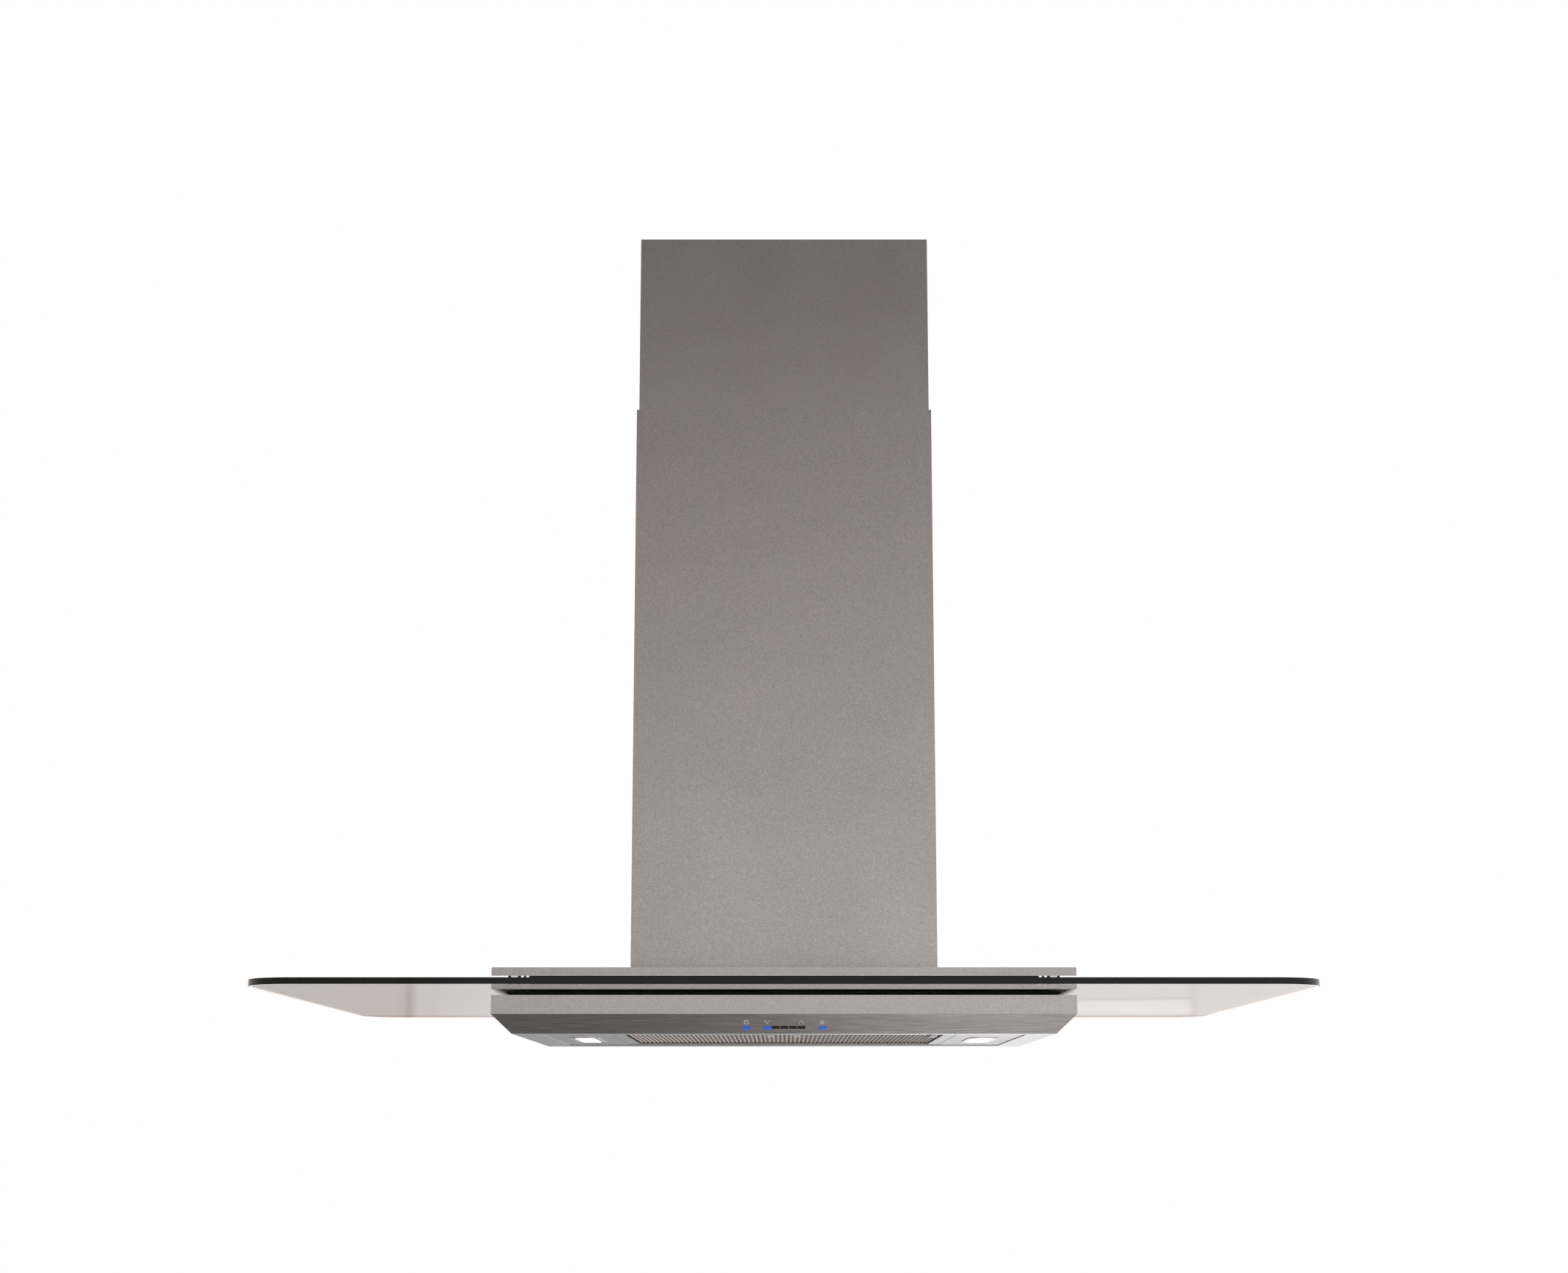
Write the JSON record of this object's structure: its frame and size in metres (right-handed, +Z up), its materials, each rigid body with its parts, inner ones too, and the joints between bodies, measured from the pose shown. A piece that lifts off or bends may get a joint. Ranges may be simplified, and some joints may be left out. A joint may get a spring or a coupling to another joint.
{
  "type": "island range hood",
  "caption": "Island range hood with a flat glass canopy, slim bevelled stainless body, bar lamps, drop-down grease filter and a telescoping duct cover hung from a ceiling plate.",
  "frame": {"origin": "centre of the ceiling plate's four bolt holes, on its top face, which meets the ceiling", "axes": "+Z up, +X to the right of the controls, +Y to the rear; the controls face -Y"},
  "size_m": [1.067, 0.7, 0.8952],
  "materials": {
    "brushed_stainless": "brushed, satin",
    "canopy_glass": "clear, polished edges",
    "zinc_steel": "zinc plated, spangled",
    "hardware_steel": "bright zinc",
    "chrome_trim": "polished",
    "stainless_ear": "satin",
    "filter_aluminium": "pressed, matt",
    "lamp_bezel_metal": "satin",
    "lamp_diffuser": "frosted, lit from behind",
    "indicator_lens": "translucent",
    "black_plastic": "moulded",
    "volute_plastic": "moulded",
    "circuit_board": "solder resist",
    "gasket_rubber": "foam strip",
    "white_nylon": "moulded",
    "motor_metal": "die cast"
  },
  "bodies": {
    "hood": {"upper_cover_shell": "brushed_stainless", "upper_cover_back": "brushed_stainless", "top_box": "brushed_stainless", "body_shell": "brushed_stainless", "lamp_panel_left": "brushed_stainless", "lamp_panel_right": "brushed_stainless", "glass_canopy": "canopy_glass", "ceiling_plate": "zinc_steel", "upper_post_front_left": "zinc_steel", "upper_post_front_right": "zinc_steel", "upper_post_rear_left": "zinc_steel", "upper_post_rear_right": "zinc_steel", "lower_post_front_left": "zinc_steel", "lower_post_front_right": "zinc_steel", "lower_post_rear_left": "zinc_steel", "lower_post_rear_right": "zinc_steel", "base_plate": "zinc_steel", "blower_housing": "zinc_steel", "outlet_collar": "zinc_steel", "motor_bracket": "zinc_steel", "capacitor_clip": "zinc_steel", "frame_screws": "hardware_steel", "base_bolts": "hardware_steel", "upper_cover_rivets": "hardware_steel", "upper_cover_screws": "hardware_steel", "clamp_bolts": "hardware_steel", "motor_bearings": "hardware_steel", "damper_pin": "hardware_steel", "lamp_bezels": "lamp_bezel_metal", "lamp_lens_left": "lamp_diffuser", "lamp_lens_right": "lamp_diffuser", "indicator_windows": "indicator_lens", "window_carrier": "black_plastic", "electronics_box": "black_plastic", "cable_gland": "black_plastic", "glass_bushes": "black_plastic", "volute_front": "volute_plastic", "volute_rear": "volute_plastic", "inlet_ring": "volute_plastic", "led_boards": "circuit_board", "touch_board": "circuit_board", "power_board": "circuit_board", "upper_gasket": "gasket_rubber", "lower_gasket": "gasket_rubber", "run_capacitor": "white_nylon", "motor_housing": "motor_metal"},
    "lower_cover": {"lower_cover_shell": "brushed_stainless", "lower_cover_back": "brushed_stainless", "lower_cover_rivets": "hardware_steel"},
    "filter": {"filter_frame": "brushed_stainless", "filter_grille": "filter_aluminium", "filter_mesh": "filter_aluminium", "filter_knob": "chrome_trim", "latch_housing": "black_plastic", "latch_spring": "hardware_steel"},
    "latch": {"latch_slider": "stainless_ear"},
    "impeller": {"impeller": "volute_plastic", "motor_shaft": "hardware_steel"},
    "flap_left": {"damper_flap_left": "zinc_steel"},
    "flap_right": {"damper_flap_right": "zinc_steel"}
  },
  "joints": [
    {"name": "lower_cover_lift", "type": "slide", "parent": "hood", "child": "lower_cover", "axis": [0, 0, 1], "range_m": [0, 0.18]},
    {"name": "filter_swing", "type": "hinge", "parent": "hood", "child": "filter", "pos_m": [0, 0.164, -0.891], "axis": [1, 0, 0], "range_deg": [0, 70]},
    {"name": "latch_slide", "type": "slide", "parent": "filter", "child": "latch", "axis": [0, 1, 0], "range_m": [0, 0.005], "stiffness_N_per_m": 400, "springref_m": -0.004, "deforming": ["latch_spring"]},
    {"name": "impeller_spin", "type": "hinge", "parent": "hood", "child": "impeller", "pos_m": [-0.053, 0, -0.7005], "axis": [0, 1, 0], "continuous": true},
    {"name": "flap_left_swing", "type": "hinge", "parent": "hood", "child": "flap_left", "pos_m": [0, 0, -0.5693], "axis": [0, 1, 0], "range_deg": [0, 80]},
    {"name": "flap_right_swing", "type": "hinge", "parent": "hood", "child": "flap_right", "pos_m": [0, 0, -0.5693], "axis": [0, -1, 0], "range_deg": [0, 80]}
  ]
}
